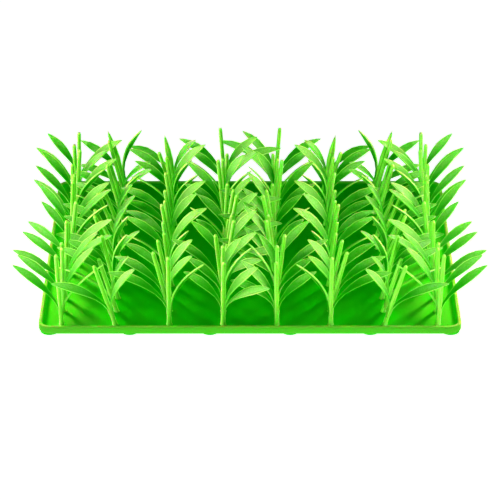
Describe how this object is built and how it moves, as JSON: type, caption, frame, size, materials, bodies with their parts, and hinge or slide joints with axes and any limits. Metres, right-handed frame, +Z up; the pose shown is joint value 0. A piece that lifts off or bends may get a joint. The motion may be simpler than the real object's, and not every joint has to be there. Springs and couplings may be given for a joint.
{
  "type": "silicone snuffle mat",
  "caption": "Shallow rectangular silicone tray with a low rim, filled with rows of moulded three-leaf grass tufts that hide dry food.",
  "frame": {"origin": "on the surface that the mat stands on, under the middle of its outline", "axes": "+X along the mat's long side, +Z up, front edge towards -Y"},
  "size_m": [0.3412, 0.218, 0.0612],
  "materials": {
    "tray_silicone": "satin moulded silicone, bright green",
    "grass_silicone": "satin moulded silicone, bright green"
  },
  "bodies": {
    "root": {"tray": "tray_silicone", "grass_column_1": "grass_silicone", "grass_column_2": "grass_silicone", "grass_column_3": "grass_silicone", "grass_column_4": "grass_silicone", "grass_column_5": "grass_silicone", "grass_column_6": "grass_silicone", "grass_column_7": "grass_silicone", "grass_column_8": "grass_silicone"}
  },
  "joints": []
}
